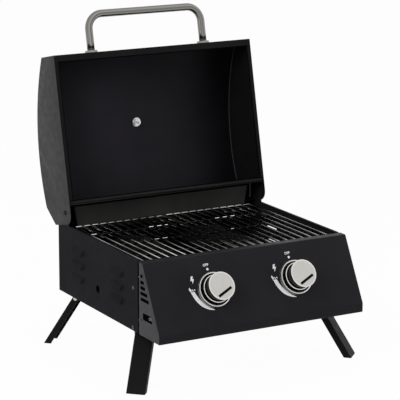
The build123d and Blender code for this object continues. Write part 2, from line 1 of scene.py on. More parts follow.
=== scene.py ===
"""Portable tabletop gas grill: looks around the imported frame, laid out as a Blender add-on."""

import json
import math

import bmesh
import bpy
import numpy as np
from mathutils import Matrix, Vector


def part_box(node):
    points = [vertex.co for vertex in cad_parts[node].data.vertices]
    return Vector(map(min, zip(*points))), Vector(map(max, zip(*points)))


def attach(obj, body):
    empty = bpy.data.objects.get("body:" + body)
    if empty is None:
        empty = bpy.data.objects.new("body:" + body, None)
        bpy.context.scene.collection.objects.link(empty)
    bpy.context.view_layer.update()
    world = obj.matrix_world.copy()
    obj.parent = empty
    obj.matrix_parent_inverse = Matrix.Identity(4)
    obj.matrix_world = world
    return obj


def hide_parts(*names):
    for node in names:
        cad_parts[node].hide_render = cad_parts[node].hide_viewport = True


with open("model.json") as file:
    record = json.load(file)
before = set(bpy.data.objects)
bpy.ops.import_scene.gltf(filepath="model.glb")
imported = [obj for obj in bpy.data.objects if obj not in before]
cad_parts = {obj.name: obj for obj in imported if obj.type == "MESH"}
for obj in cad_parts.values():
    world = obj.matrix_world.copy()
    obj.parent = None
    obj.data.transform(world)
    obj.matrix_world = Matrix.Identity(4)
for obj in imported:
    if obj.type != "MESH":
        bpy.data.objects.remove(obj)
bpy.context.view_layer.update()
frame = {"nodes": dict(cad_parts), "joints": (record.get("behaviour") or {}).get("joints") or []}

bl_info = {
    "name": "Portable tabletop grill",
    "version": (1, 0, 0),
    "blender": (4, 5, 0),
    "location": "3D View > Sidebar > Grill",
    "description": "Builds the finishes, fittings and studio of a portable gas grill around its packed frame",
    "category": "Object",
}

MM = 0.001
TOUCHING = 1e-6    # points closer than this are one
FOLD = math.radians(30)    # a surface that turns more than this at an edge is folded there
NODES = frame["nodes"]
JOINTS = {joint["name"]: joint for joint in frame["joints"]}


# ------------------------------------------------------------------ places read from the frame
def unit(vector):
    """The vector divided by its length."""
    vector = np.asarray(vector, float)
    return vector / np.linalg.norm(vector)


LID_PIVOT = np.array(JOINTS["lid_hinge"]["pos_m"])
LID_OPEN = math.radians(max(JOINTS["lid_hinge"]["range_deg"]) - min(JOINTS["lid_hinge"]["range_deg"]))
PIVOT_BACK = 0.177    # how far the lid's pivot stands behind the middle of the feet
FEET_BACK = LID_PIVOT[1] - PIVOT_BACK    # where the middle of the feet lies, front to back
RIM_BELOW_PIVOT = 31.5 * MM    # with the lid shut
KNOB_AXIS = unit(JOINTS["knob_turn_left"]["axis"])
KNOB_UP = np.array([0.0, KNOB_AXIS[2], -KNOB_AXIS[1]])    # up the panel's slanted face
KNOB_CENTRE = {side: np.array(JOINTS["knob_turn_" + side]["pos_m"]) for side in ("left", "right")}
DIAL_CENTRE = np.array(JOINTS["needle_turn"]["pos_m"])
DIAL_AXIS = -unit(JOINTS["needle_turn"]["axis"])
ACROSS = np.array([1.0, 0.0, 0.0])
SHEET = 1.2    # thickness of the lid's sheet, mm
SIDE_FACE, PANEL_SIDE = 277.5, 280.0    # outer faces of the side panels and the control panel's ends, mm
LID_END = 279.5 * MM    # outer face of the lid's end caps
LID_LONG, LID_HEEL = 388.0, 17.8    # front and back walls of the lid, forward of the pivot, mm
DOME_CENTRE, DOME_R = (125.0, -339.5), 490.0    # forward of the pivot, up from the rim, mm


def lid_place(across, forward, up):
    """A point in the lid's own measure (across, forward of the pivot, up from the rim) as it stands open:
    turned about the pivot by the hinge's range."""
    turn = -LID_OPEN
    y = -np.asarray(forward, float)
    z = np.asarray(up, float) - RIM_BELOW_PIVOT
    return np.stack(
        np.broadcast_arrays(
            np.asarray(across, float),
            LID_PIVOT[1] + y * math.cos(turn) - z * math.sin(turn),
            LID_PIVOT[2] + y * math.sin(turn) + z * math.cos(turn),
        ),
        axis=-1,
    )


def lid_direction(forward, up):
    """A direction in the lid's own measure as it stands open."""
    return lid_place(0, forward, up + RIM_BELOW_PIVOT) - LID_PIVOT * np.array([0, 1, 1])


def lid_measure(points):
    """How far forward of the pivot and up from the rim each point lies, as the lid stands open."""
    reach = points - LID_PIVOT
    return reach @ lid_direction(1.0, 0.0), reach @ lid_direction(0.0, 1.0) + RIM_BELOW_PIVOT


# ------------------------------------------------------------------ meshes as whole arrays
def put_mesh(name, points, faces, smooth=True):
    """A mesh object from an (n, 3) array of points and a list of face arrays, with bad faces taken out."""
    mesh = bpy.data.meshes.new(name)
    rows = [tuple(row) for block in faces for row in np.asarray(block).tolist()]
    mesh.from_pydata(np.asarray(points, float).tolist(), [], rows)
    mesh.validate()
    mesh.update()
    mesh.polygons.foreach_set("use_smooth", np.full(len(mesh.polygons), smooth))
    piece = bpy.data.objects.new(name, mesh)
    bpy.context.scene.collection.objects.link(piece)
    return piece


def grid_faces(rows, columns):
    """Quads of a rows by columns grid of points whose last column joins the first."""
    i, j = np.meshgrid(np.arange(rows - 1), np.arange(columns), indexing="ij")
    k = (j + 1) % columns
    this, following = i * columns, (i + 1) * columns
    return np.stack([this + j, this + k, following + k, following + j], axis=-1).reshape(-1, 4)


def turned(name, centre, axis, side, outline, segments):
    """A turned piece: each (radius, height) of the outline goes round the axis.
    point = centre + radius (cos a side + sin a side2) + height axis. Ends at radius 0 close as a pole."""
    axis, side = unit(axis), unit(side)
    side2 = np.cross(axis, side)
    outline = np.asarray(outline, float)
    angle = np.arange(segments) / segments * 2 * math.pi
    ring = np.cos(angle)[:, None] * side + np.sin(angle)[:, None] * side2
    points = centre + outline[:, 0, None, None] * ring + outline[:, 1, None, None] * axis
    return weld(put_mesh(name, points.reshape(-1, 3), [grid_faces(len(outline), segments)]))


def weld(piece):
    """Merge doubled points and turn every face outward."""
    work = bmesh.new()
    work.from_mesh(piece.data)
    bmesh.ops.remove_doubles(work, verts=work.verts, dist=TOUCHING)
    bmesh.ops.recalc_face_normals(work, faces=work.faces)
    work.to_mesh(piece.data)
    work.free()
    piece.data.update()
    return piece


def rounded(outline, radius, steps=4):
    """An outline of (r, h) points with each inner corner cut back, by the radius or by 0.49 of a short side,
    and replaced by a quadratic curve (1-t)^2 a + 2 t (1-t) corner + t^2 b."""
    outline = np.asarray(outline, float)
    result = [outline[:1]]
    t = np.linspace(0, 1, steps + 1)[:, None]
    for before, corner, after in zip(outline[:-2], outline[1:-1], outline[2:]):
        a_len, b_len = np.linalg.norm(before - corner), np.linalg.norm(after - corner)
        cut = min(radius, a_len * 0.49, b_len * 0.49)
        a = corner + (before - corner) / a_len * cut
        b = corner + (after - corner) / b_len * cut
        result.append((1 - t) ** 2 * a + 2 * t * (1 - t) * corner + t**2 * b)
    result.append(outline[-1:])
    return np.concatenate(result)


def swept(name, path, radius, normal, segments):
    """A round tube with flat ends along a flat path: point = path + r (cos a across + sin a normal), where
    across is the tangent turned in the path's plane. Each point keeps its lay: (run, r cos a, r sin a)."""
    path = np.asarray(path, float)
    tangent = np.gradient(path, axis=0)
    tangent /= np.linalg.norm(tangent, axis=1)[:, None]
    normal = unit(normal)
    across = np.cross(tangent, normal)
    angle = np.arange(segments) / segments * 2 * math.pi
    ring = np.cos(angle)[None, :, None] * across[:, None] + np.sin(angle)[None, :, None] * normal
    points = (path[:, None] + radius * ring).reshape(-1, 3)
    round_end = np.arange(segments)[None]
    last = (len(path) - 1) * segments
    faces = [grid_faces(len(path), segments), round_end[:, ::-1], round_end + last]
    piece = put_mesh(name, points, faces)
    run = np.concatenate([[0.0], np.cumsum(np.linalg.norm(np.diff(path, axis=0), axis=1))])
    run = np.broadcast_to(run[:, None], (len(path), segments))
    lay = np.stack(np.broadcast_arrays(run, radius * np.cos(angle), radius * np.sin(angle)), axis=-1)
    held = piece.data.attributes.new("lay", "FLOAT_VECTOR", "POINT")
    held.data.foreach_set("vector", lay.astype(np.float32).ravel())
    return weld(piece)


def rods(name, starts, ends, radius, segments=14):
    """Many level round rods in one mesh: point = start + run along + reach (cos a u + sin a v), where u is
    level and v is not. The ends are softly rounded: at 0, 0.05 r, 0.3 r and 0.8 r from an end, reach is r
    times the square root of 0.02, 0.25, 0.7 and 1."""
    starts, ends = np.asarray(starts, float), np.asarray(ends, float)
    line = ends - starts
    length = np.linalg.norm(line, axis=1)
    along = line / length[:, None]
    u = np.cross(along, np.array([0.0, 0.0, 1.0]))
    v = np.cross(along, u)
    inset = radius * np.array([0.0, 0.05, 0.3, 0.8])
    run = np.concatenate([inset[None].repeat(len(length), 0), length[:, None] - inset[::-1][None]], axis=1)
    reach = radius * np.array([0.02, 0.25, 0.7, 1.0, 1.0, 0.7, 0.25, 0.02]) ** 0.5
    angle = np.arange(segments) / segments * 2 * math.pi
    ring = np.cos(angle)[None, :, None] * u[:, None] + np.sin(angle)[None, :, None] * v[:, None]
    middle = starts[:, None, None] + run[..., None, None] * along[:, None, None]
    points = middle + reach[None, :, None, None] * ring[:, None]
    rows = len(reach)
    first = np.arange(len(starts))[:, None] * rows * segments
    sides = (grid_faces(rows, segments)[None] + first[..., None]).reshape(-1, 4)
    round_end = np.arange(segments)[None]
    faces = [sides, round_end[:, ::-1] + first, round_end + (rows - 1) * segments + first]
    return weld(put_mesh(name, points.reshape(-1, 3), faces))


def plate(name, outline, centre, right, up, lift):
    """A thin flat mark: a closed outline in (right, up) measure, standing `lift` proud of its plane,
    with a side wall down to the plane."""
    outline = np.asarray(outline, float)
    right, up = unit(right), unit(up)
    normal = np.cross(right, up)
    flat = centre + outline[:, 0, None] * right + outline[:, 1, None] * up
    points = np.concatenate([flat, flat + normal * lift])
    n = len(outline)
    i = np.arange(n)
    walls = np.stack([i, (i + 1) % n, (i + 1) % n + n, i + n], axis=-1)
    return weld(put_mesh(name, points, [walls, (i + n)[None], i[None, ::-1]], smooth=False))


def corner_points(node):
    """A CAD node's corner points in the shared frame."""
    mesh = NODES[node].data
    points = np.zeros(len(mesh.vertices) * 3)
    mesh.vertices.foreach_get("co", points)
    place = np.array(NODES[node].matrix_world)
    return points.reshape(-1, 3) @ place[:3, :3].T + place[:3, 3]


def recut(name, node, move):
    """The CAD node's own surface taken as whole arrays, with move(points) applied to its corner points:
    point = move(place times point). Doubled points are merged; bends stay smooth and folds stay crisp."""
    mesh = NODES[node].data
    points = corner_points(node)
    corners = np.zeros(len(mesh.loops), np.int32)
    mesh.loops.foreach_get("vertex_index", corners)
    piece = weld(put_mesh(name, move(points), [corners.reshape(-1, 3)]))
    piece.data.set_sharp_from_angle(angle=FOLD)
    return piece


def give_slots(piece, chosen, slot):
    """Faces whose middle point passes the test take a material slot."""
    middles = np.zeros(len(piece.data.polygons) * 3)
    piece.data.polygons.foreach_get("center", middles)
    held = np.zeros(len(piece.data.polygons), np.int32)
    piece.data.polygons.foreach_get("material_index", held)
    held[chosen(middles.reshape(-1, 3))] = slot
    piece.data.polygons.foreach_set("material_index", held)


def joined(name, pieces):
    """Several made pieces, each given with its material slot, as one mesh object."""
    work = bmesh.new()
    for piece, slot in pieces:
        first = len(work.faces)
        work.from_mesh(piece.data)
        work.faces.ensure_lookup_table()
        for face in work.faces[first:]:
            face.material_index = slot
    mesh = bpy.data.meshes.new(name)
    work.to_mesh(mesh)
    work.free()
    for piece, _ in pieces:
        old = piece.data
        bpy.data.objects.remove(piece)
        bpy.data.meshes.remove(old)
    whole = bpy.data.objects.new(name, mesh)
    bpy.context.scene.collection.objects.link(whole)
    return whole


def lettering(name, text, height, centre, right, up, lift):
    """Plain built-in letters made a mesh and scaled to a height, then laid on a plane:
    point = centre + x right + y up + z normal, where z is 0 at the back and the lift at the front."""
    curve = bpy.data.curves.new(name, "FONT")
    curve.body = text
    curve.size = 1.0
    curve.align_x = "CENTER"
    curve.align_y = "CENTER"
    curve.extrude = 0.02    # parts the front from the back; the lift then gives the thickness
    curve.offset = 0.025    # bolder strokes
    holder = bpy.data.objects.new(name + "_outline", curve)
    bpy.context.scene.collection.objects.link(holder)
    bpy.context.view_layer.update()
    mesh = bpy.data.meshes.new_from_object(holder)
    bpy.data.objects.remove(holder)
    points = np.zeros(len(mesh.vertices) * 3, np.float32)
    mesh.vertices.foreach_get("co", points)
    points = points.reshape(-1, 3).astype(float)
    size = points.max(0) - points.min(0)
    points = (points - (points.max(0) + points.min(0)) / 2) * (height / size[1])
    right, up = unit(right), unit(up)
    normal = np.cross(right, up)
    depth = (points[:, 2] > 0).astype(float) * lift
    placed = centre + points[:, 0, None] * right + points[:, 1, None] * up + depth[:, None] * normal
    mesh.vertices.foreach_set("co", placed.astype(np.float32).ravel())
    mesh.update()
    piece = bpy.data.objects.new(name, mesh)
    bpy.context.scene.collection.objects.link(piece)
    return piece


# ------------------------------------------------------------------ finishes
def new_material(name):
    """A material with its node tree and its shader."""
    material = bpy.data.materials.new(name)
    material.use_nodes = True
    tree = material.node_tree
    return material, tree, tree.nodes["Principled BSDF"]


def noise(tree, scale, detail, stretch=None, lay=False):
    """Noise on the piece's own coordinates, in metres, or on the lay that a swept piece carries along and
    around itself; stretch slows it along one axis."""
    if lay:
        held = tree.nodes.new("ShaderNodeAttribute")
        held.attribute_name = "lay"
        source = held.outputs["Vector"]
    else:
        source = tree.nodes.new("ShaderNodeTexCoord").outputs["Object"]
    if stretch is not None:
        mapping = tree.nodes.new("ShaderNodeMapping")
        mapping.inputs["Scale"].default_value = stretch
        tree.links.new(source, mapping.inputs["Vector"])
        source = mapping.outputs["Vector"]
    texture = tree.nodes.new("ShaderNodeTexNoise")
    texture.inputs["Scale"].default_value = scale
    texture.inputs["Detail"].default_value = detail
    tree.links.new(source, texture.inputs["Vector"])
    return texture.outputs["Fac"]


def coloured(tree, shader, source, low, high, start=0.3, end=0.7):
    """The base colour goes from low to high while the source goes from start to end."""
    node = tree.nodes.new("ShaderNodeValToRGB")
    for stop, place, colour in zip(node.color_ramp.elements, (start, end), (low, high)):
        stop.position = place
        stop.color = (*colour, 1)
    tree.links.new(source, node.inputs["Fac"])
    tree.links.new(node.outputs["Color"], shader.inputs["Base Color"])


def span(tree, source, low, high, start=0.0, end=1.0):
    """A value that goes from low to high while the source goes from start to end."""
    node = tree.nodes.new("ShaderNodeMapRange")
    node.inputs["From Min"].default_value = start
    node.inputs["From Max"].default_value = end
    node.inputs["To Min"].default_value = low
    node.inputs["To Max"].default_value = high
    tree.links.new(source, node.inputs["Value"])
    return node.outputs["Result"]


def roughened(tree, shader, source, low, high, start=0.3, end=0.7):
    """The roughness goes from low to high while the source goes from start to end."""
    tree.links.new(span(tree, source, low, high, start, end), shader.inputs["Roughness"])


def bump(tree, shader, source, strength, distance):
    """The source as small relief, up to the distance in metres."""
    node = tree.nodes.new("ShaderNodeBump")
    node.inputs["Strength"].default_value = strength
    node.inputs["Distance"].default_value = distance
    tree.links.new(source, node.inputs["Height"])
    tree.links.new(node.outputs["Normal"], shader.inputs["Normal"])


def tint(colour, factor):
    """The colour made lighter or darker by a factor."""
    return tuple(min(1.0, c * factor) for c in colour)


def baked_paint(name, colour, gloss, rough=0.42, grain=0.25, mottle=0.12, patch=9.0):
    """Satin heat-resistant paint: fine orange-peel grain, slow mottle in shade and gloss."""
    material, tree, shader = new_material(name)
    shader.inputs["Specular IOR Level"].default_value = gloss
    coloured(tree, shader, noise(tree, patch, 3.0), tint(colour, 1 - mottle), tint(colour, 1 + mottle))
    roughened(tree, shader, noise(tree, 60.0, 5.0), rough - 0.06, rough + 0.08)
    bump(tree, shader, noise(tree, 1400.0, 2.0), grain, 0.00012)
    return material


def heat_bloomed(material, centre, reach, middle, edge):
    """Painted light: the paint's colour is multiplied by a value that falls evenly from middle at the
    centre to edge at the reach, a pool of light painted into the colour."""
    tree = material.node_tree
    shader = tree.nodes["Principled BSDF"]
    paint = shader.inputs["Base Color"].links[0].from_socket
    gap = tree.nodes.new("ShaderNodeVectorMath")
    gap.operation = "DISTANCE"
    tree.links.new(tree.nodes.new("ShaderNodeTexCoord").outputs["Object"], gap.inputs[0])
    gap.inputs[1].default_value = centre
    share = span(tree, gap.outputs["Value"], middle, edge, 0.0, reach)
    scaled = tree.nodes.new("ShaderNodeVectorMath")
    scaled.operation = "SCALE"
    tree.links.new(paint, scaled.inputs[0])
    tree.links.new(share, scaled.inputs["Scale"])
    tree.links.new(scaled.outputs["Vector"], shader.inputs["Base Color"])


def brushed_metal(name, colour, rough=0.28, along=(1, 1, 1), scratch=0.3, lay=False):
    """Drawn or brushed metal: fine scratches run along the axis that is slowed, gloss varies slowly. On a
    swept piece they follow its lay and are deeper."""
    material, tree, shader = new_material(name)
    shader.inputs["Metallic"].default_value = 1.0
    fine = noise(tree, 260.0 if lay else 900.0, 3.0, along, lay=lay)
    deep = 0.45 if lay else 0.86
    coloured(tree, shader, fine, tint(colour, deep), tint(colour, 1.08), 0.36, 0.64)
    roughened(tree, shader, noise(tree, 25.0, 4.0), rough - 0.06, rough + 0.08)
    bump(tree, shader, fine, scratch, 0.00008)
    return material


def polished_metal(name, colour, rough):
    """Chrome: near mirror, with faint wipe marks in the gloss."""
    material, tree, shader = new_material(name)
    shader.inputs["Metallic"].default_value = 1.0
    coloured(tree, shader, noise(tree, 40.0, 4.0), tint(colour, 0.95), colour)
    roughened(tree, shader, noise(tree, 120.0, 5.0), rough, rough + 0.07, 0.35, 0.75)
    bump(tree, shader, noise(tree, 300.0, 2.0), 0.05, 0.00005)
    return material


def moulded(name, colour, rough, gloss=0.5):
    """Moulded plastic or glazed ceramic: fine texture and a slight sheen change."""
    material, tree, shader = new_material(name)
    shader.inputs["Specular IOR Level"].default_value = gloss
    coloured(tree, shader, noise(tree, 30.0, 3.0), tint(colour, 0.9), tint(colour, 1.1))
    roughened(tree, shader, noise(tree, 200.0, 3.0), rough - 0.05, rough + 0.08)
    bump(tree, shader, noise(tree, 2200.0, 2.0), 0.15, 0.00006)
    return material


def clear_glass(name):
    """Window glass with faint smears in its gloss and shade."""
    material, tree, shader = new_material(name)
    shader.inputs["Transmission Weight"].default_value = 1.0
    shader.inputs["IOR"].default_value = 1.45
    roughened(tree, shader, noise(tree, 80.0, 3.0), 0.01, 0.05)
    coloured(tree, shader, noise(tree, 20.0, 2.0), (0.97, 0.98, 0.98), (1.0, 1.0, 1.0))
    return material


def grate_rod(name, clean, seared):
    """Drawn rod, seared darker by heat in patches that follow slow noise."""
    material, tree, shader = new_material(name)
    shader.inputs["Metallic"].default_value = 1.0
    coloured(tree, shader, noise(tree, 7.0, 3.0), clean, seared, 0.35, 0.65)
    roughened(tree, shader, noise(tree, 90.0, 4.0), 0.1, 0.2)
    bump(tree, shader, noise(tree, 700.0, 3.0), 0.2, 0.00008)
    return material


def larger(tree, first, second):
    """The larger of two numbers."""
    node = tree.nodes.new("ShaderNodeMath")
    node.operation = "MAXIMUM"
    tree.links.new(first, node.inputs[0])
    tree.links.new(second, node.inputs[1])
    return node.outputs["Value"]


def ray_kind(tree, *kinds):
    """1 for the kinds of ray named, 0 for all others."""
    path = tree.nodes.new("ShaderNodeLightPath")
    total = path.outputs[kinds[0]]
    for kind in kinds[1:]:
        total = larger(tree, total, path.outputs[kind])
    return total


def mixed(tree, share, first, second):
    """first where share is 0, second where it is 1."""
    node = tree.nodes.new("ShaderNodeMixShader")
    tree.links.new(share, node.inputs["Fac"])
    tree.links.new(first, node.inputs[1])
    tree.links.new(second, node.inputs[2])
    return node.outputs["Shader"]


def dress(nodes, material):
    """Give CAD nodes a material in their existing slots."""
    for name in nodes:
        piece = NODES[name]
        if not piece.material_slots:
            raise RuntimeError(f"{name} has no material slot")
        for held in piece.material_slots:
            held.link = "OBJECT"
            held.material = material


def finish_piece(piece, materials, body, replaces=()):
    """Give a made piece its list of materials and its moving body, and hide the CAD nodes that it stands for.
    """
    held = np.zeros(len(piece.data.polygons), np.int32)
    piece.data.polygons.foreach_get("material_index", held)
    piece.data.materials.clear()
    for material in materials:
        piece.data.materials.append(material)
    piece.data.polygons.foreach_set("material_index", held)
    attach(piece, body)
    if replaces:
        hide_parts(*replaces)


# ------------------------------------------------------------------ settings
class GrillColours(bpy.types.PropertyGroup):
    """Colours that a user may change."""

    body: bpy.props.FloatVectorProperty(
        name="Body paint", description="Paint of the firebox and control panel",
        default=(0.0125, 0.0125, 0.0142), subtype="COLOR", size=3, min=0, max=1,
    )
    lid: bpy.props.FloatVectorProperty(
        name="Lid paint", description="Paint of the lid's outside",
        default=(0.018, 0.018, 0.019), subtype="COLOR", size=3, min=0, max=1,
    )
    steel: bpy.props.FloatVectorProperty(
        name="Stainless steel", description="Handle tube, its collars and the valve stems",
        default=(0.30, 0.293, 0.278), subtype="COLOR", size=3, min=0, max=1,
    )
    chrome: bpy.props.FloatVectorProperty(
        name="Chrome", description="Knob faces",
        default=(0.56, 0.545, 0.52), subtype="COLOR", size=3, min=0, max=1,
    )
    marks: bpy.props.FloatVectorProperty(
        name="Panel marks", description="White marks round the knobs",
        default=(0.8, 0.8, 0.82), subtype="COLOR", size=3, min=0, max=1,
    )


class GrillSizes(bpy.types.PropertyGroup):
    """Sizes that a user may change."""

    bar: bpy.props.FloatProperty(
        name="Grate bar", description="Radius of a grate bar",
        default=2.5 * MM, min=0.5 * MM, unit="LENGTH",
    )
    handle: bpy.props.FloatProperty(
        name="Handle tube", description="Radius of the handle's tube",
        default=9.5 * MM, min=2 * MM, unit="LENGTH",
    )
    bend: bpy.props.FloatProperty(
        name="Handle bend", description="Radius of the handle's bends",
        default=38 * MM, min=10 * MM, unit="LENGTH",
    )
    mark: bpy.props.FloatProperty(
        name="Mark thickness", description="How proud a printed mark stands",
        default=0.12 * MM, min=0.02 * MM, unit="LENGTH",
    )


def colours():
    """The scene's colour settings."""
    return bpy.context.scene.grill_colours


def sizes():
    """The scene's size settings."""
    return bpy.context.scene.grill_sizes


# ------------------------------------------------------------------ pieces
class GRILL_OT_body(bpy.types.Operator):
    """Paint the firebox, the control panel and what stands in them, and put in their screws."""

    bl_idname = "grill.body"
    bl_label = "Body"

    joint_gap = 6.0 * MM    # between a side panel and the control panel
    fold_front = 208 * MM    # the side panels' folded front edges lie farther forward than this
    slot_heights = (279.0, 264.5, 251.5, 238.0, 224.0)    # of the slots in the panel's ends, mm
    slot_out, slot_front = 276 * MM, 221 * MM    # the slots lie farther out and farther forward than this
    slot_reach = 3.2 * MM    # no point of a slot lies farther above or below its middle than this
    slot_before, slot_half = 3.0 * MM, 4.1 * MM    # a slot's half height before and after it is opened
    end_wall = 279.9 * MM    # faces farther out than this are the panel's ends
    back_wall = 0.4 * MM    # faces no farther in than this are the back panel's outside
    side_screws, side_head = ((-183.0, 240.5), (-180.0, 142.8)), 4.4    # back and up; radius, mm
    end_screw, end_head = (-221.0, 172.0), 3.4

    def execute(self, context):
        body = baked_paint("body_paint", colours().body, gloss=0.01)
        face = baked_paint("panel_paint", tint(colours().body, 1.05), gloss=0.07)
        # a lighter copy of the body paint on the panel's ends: painted light
        ends = baked_paint("panel_end_paint", tint(colours().body, 1.7), gloss=0.2)
        # a near-black copy of the paint inside the firebox and on the back panel's inside: painted shade
        inner = baked_paint("liner_enamel", (0.006, 0.006, 0.006), gloss=0.03, rough=0.6)
        shield = baked_paint("shield_paint", (0.030, 0.030, 0.029), gloss=0.1, rough=0.5, mottle=0.2)
        dress(["floor_pan"], body)
        dress(["heat_shield"], shield)
        # the back panel's inside takes the painted shade, its outside the body paint
        back = recut("back_skin", "back_panel", lambda points: points)
        give_slots(back, lambda at: at[:, 1] > at[:, 1].max() - self.back_wall, 1)
        finish_piece(back, [inner, body], "body", ["back_panel"])
        dress(["firebox_front", "front_ledge", "rear_ledge", "flame_tamer_left", "flame_tamer_right"], inner)
        screw = brushed_metal("screw_steel", (0.12, 0.12, 0.12), 0.25)
        panel = recut("panel_face", "control_panel", self.open_slots)
        # the faces of the panel's ends take the painted-light copy
        give_slots(panel, lambda at: np.abs(at[:, 0]) > self.end_wall, 1)
        finish_piece(panel, [face, ends], "body", ["control_panel"])
        for side, sign in (("left", -1), ("right", 1)):
            skin = recut("side_skin_" + side, "side_panel_" + side, self.set_back)
            finish_piece(skin, [body], "body", ["side_panel_" + side])
            heads = [self.screw(sign * SIDE_FACE, y, z, sign, self.side_head) for y, z in self.side_screws]
            heads.append(self.screw(sign * PANEL_SIDE, *self.end_screw, sign, self.end_head))
            finish_piece(joined("side_screws_" + side, [(head, 0) for head in heads]), [screw], "body")
        return {"FINISHED"}

    def open_slots(self, points):
        """The louvre slots in the panel's two ends, opened to their full height with squarer ends:
        up = middle + side of the middle times full half height times (share of the half height) ** 0.4."""
        out = points.copy()
        ends = (np.abs(points[:, 0]) > self.slot_out) & (points[:, 1] < FEET_BACK - self.slot_front)
        for height in self.slot_heights:
            off = points[:, 2] - height * MM
            held = ends & (np.abs(off) < self.slot_reach)
            share = np.clip(np.abs(off) / self.slot_before, 0, 1) ** 0.4
            out[held, 2] = height * MM + np.sign(off[held]) * share[held] * self.slot_half
        return out

    def set_back(self, points):
        """The side panel's folded front edge stands back from the control panel by the joint's gap."""
        out = points.copy()
        out[points[:, 1] < FEET_BACK - self.fold_front, 1] += self.joint_gap
        return out

    def screw(self, x, y, z, sign, radius):
        """A pan head with a washer face and a round recess, turned about the panel's outward direction."""
        recess = [(0, 0.9), (1.4, 0.9), (1.6, 2.3), (2.6, 2.5)]
        washer = [(radius * 0.72, 1.9), (radius * 0.76, 0.7), (radius, 0.6), (radius, 0.02), (0, 0.02)]
        shape = rounded(recess + washer, 0.25, 3)
        place = np.array([x * MM, FEET_BACK + y * MM, z * MM])
        return turned("screw", place, sign * ACROSS, KNOB_UP, shape * MM, 24)


class GRILL_OT_marks(bpy.types.Operator):
    """Print the plain tap marks round each knob: OFF, a dot, a spark, a flame and a tapering band."""

    bl_idname = "grill.marks"
    bl_label = "Panel marks"

    # places are across and up from the knob's middle; all in mm
    off_place, off_height = (-7.0, 61.8), 6.2
    dot_place, dot_radius = (-5.0, 51.2), 3.0
    spark_place = (-50.6, 30.4)
    spark = ((3.2, 9.0), (-2.2, 9.0), (-5.6, -1.6), (-1.4, -1.6), (-1.6, -9.0), (5.0, 2.2), (0.6, 2.2))
    flames = ((-62.5, 8.4, 11.0), (-56.0, 6.4, 5.6), (-50.8, 6.6, 5.0))    # across, up, height

    def execute(self, context):
        white = moulded("mark_ink", colours().marks, 0.45)
        for side, centre in KNOB_CENTRE.items():
            round_angle = np.linspace(0, 2 * math.pi, 25)[:-1]
            dot = np.stack([np.cos(round_angle), np.sin(round_angle)], -1) * self.dot_radius
            letters_at = self.on_panel(centre, *self.off_place)
            parts = [
                lettering("off", "OFF", self.off_height * MM, letters_at, ACROSS, KNOB_UP, sizes().mark),
                self.mark("dot", dot, centre, *self.dot_place),
                self.mark("spark", np.array(self.spark), centre, *self.spark_place),
                self.mark("band", self.band(), centre, 0, 0),
            ]
            parts += [self.mark("flame", self.flame(tall), centre, x, up) for x, up, tall in self.flames]
            finish_piece(joined("tap_marks_" + side, [(part, 0) for part in parts]), [white], "body")
        return {"FINISHED"}

    def on_panel(self, centre, x, up):
        """A place on the panel's face, a hair above it: centre + x across + up upward + 0.03 outward."""
        return centre + ACROSS * x * MM + KNOB_UP * up * MM + KNOB_AXIS * 0.03 * MM

    def mark(self, name, outline, centre, x, up):
        """An outline in mm laid on the panel's face."""
        return plate(name, outline * MM, self.on_panel(centre, x, up), ACROSS, KNOB_UP, sizes().mark)

    def band(self):
        """An arc from 177.5 to 257.5 degrees round the knob, whose middle line comes in from 57.2 to 47.6 and
        whose half width falls from 5.1 to 0.2 over its second half."""
        t = np.linspace(0, 1, 33)
        turn = np.radians(177.5 + 80 * t)
        wide = 4.9 * np.minimum(1.0, 2.0 * (1 - t)) ** 0.8 + 0.2
        middle = 47.6 + 9.6 * (1 - t) ** 2.6
        outer = np.stack([(middle + wide) * np.cos(turn), (middle + wide) * np.sin(turn)], -1)
        inner = np.stack([(middle - wide) * np.cos(turn), (middle - wide) * np.sin(turn)], -1)
        return np.concatenate([inner, outer[::-1]])[::-1]

    def flame(self, tall):
        """A leaning drop: half width 0.26 tall sin(pi s ** 0.7) about a line that sways by 0.1 tall
        sin(2 pi s), at height tall (s - 0.5)."""
        s = np.linspace(0, 1, 13)
        half = 0.26 * tall * np.sin(math.pi * s**0.7)
        rise = tall * (s - 0.5)
        sway = 0.1 * tall * np.sin(2 * math.pi * s)
        right, left = np.stack([half + sway, rise], -1), np.stack([-half + sway, rise], -1)
        return np.concatenate([right, left[::-1][1:-1]])


